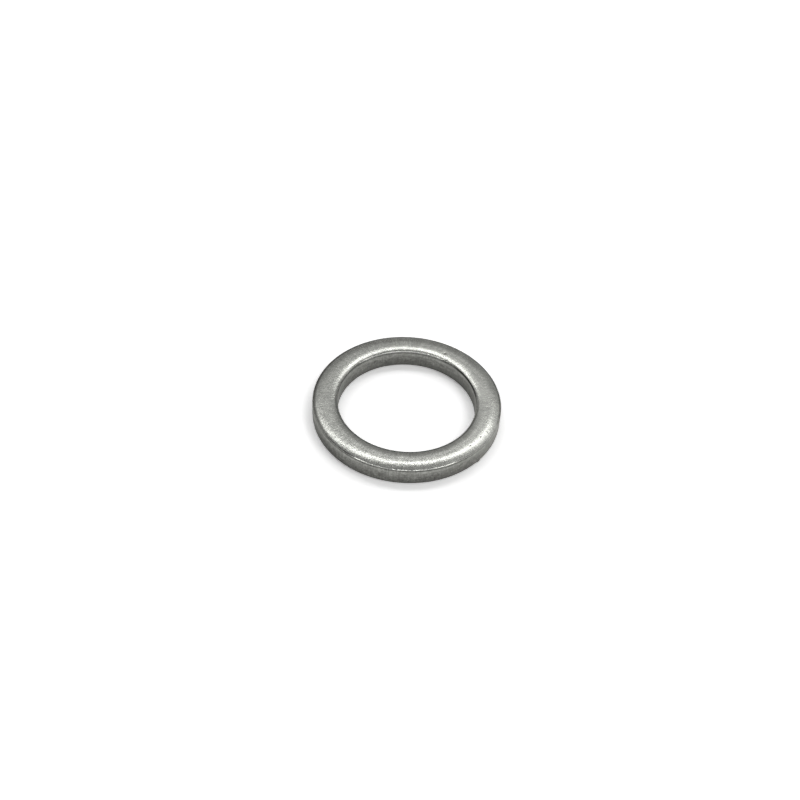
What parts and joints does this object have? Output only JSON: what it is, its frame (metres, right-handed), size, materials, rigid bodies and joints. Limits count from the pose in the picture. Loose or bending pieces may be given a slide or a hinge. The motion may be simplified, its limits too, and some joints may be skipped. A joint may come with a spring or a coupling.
{
  "type": "washer",
  "caption": "Flat steel ring washer with a wide bore and softly rolled top edges, which spreads a bolt's load or spaces parts on a shaft.",
  "frame": {"origin": "centre of the bore on the plane of the flat underside", "axes": "+Z along the bore axis, from the flat underside towards the rolled top; X and Y lie in the plane of the ring"},
  "size_m": [0.022, 0.022, 0.0023],
  "materials": {
    "tumbled_steel": "tumbled satin with a fine pitted grain, and duller sheared walls"
  },
  "bodies": {
    "root": {"washer_ring": "tumbled_steel"}
  },
  "joints": []
}
